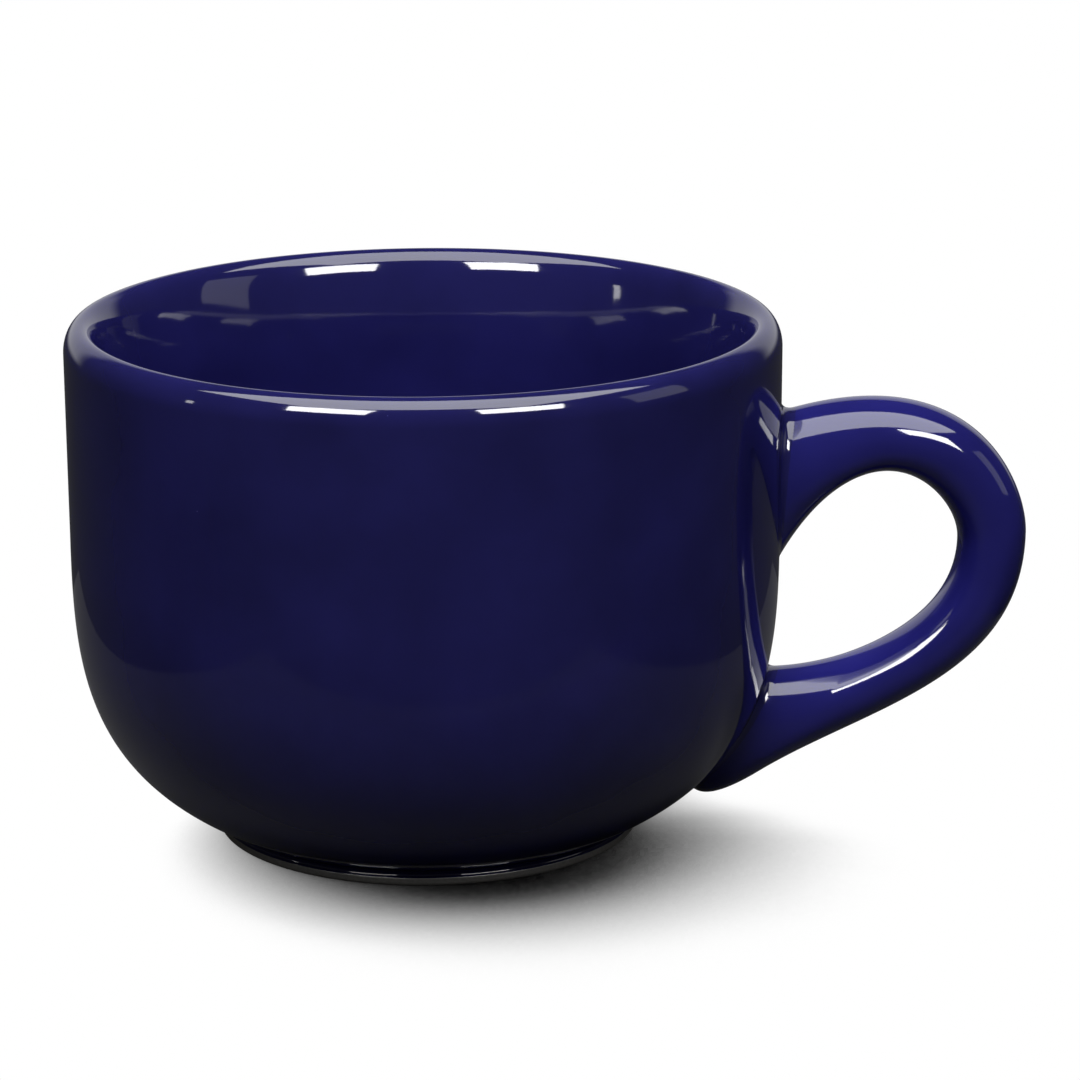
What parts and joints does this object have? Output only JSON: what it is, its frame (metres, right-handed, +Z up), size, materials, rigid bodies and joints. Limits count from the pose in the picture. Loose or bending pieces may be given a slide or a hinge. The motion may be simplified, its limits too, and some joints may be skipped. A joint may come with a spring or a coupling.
{
  "type": "latte mug",
  "caption": "Wide round latte mug of glazed stoneware with a thick rounded rim, deep bowl, turned foot ring and a flared loop handle luted to its side.",
  "frame": {"origin": "middle of the bounding box on the plane that the foot ring stands on; the mug's own axis stands 19.5 mm towards -X from it", "axes": "+X from the mug towards its handle, +Z up out of the mouth"},
  "size_m": [0.151, 0.112, 0.082],
  "materials": {
    "body_glaze": "clear gloss cobalt blue glaze on stoneware, bare clay on the foot ring's underside",
    "handle_glaze": "clear gloss cobalt blue glaze on stoneware",
    "joint_glaze": "clear gloss cobalt blue glaze over luting slip"
  },
  "bodies": {
    "root": {"mug_body": "body_glaze", "handle": "handle_glaze", "upper_slip_joint": "joint_glaze", "lower_slip_joint": "joint_glaze"}
  },
  "joints": []
}
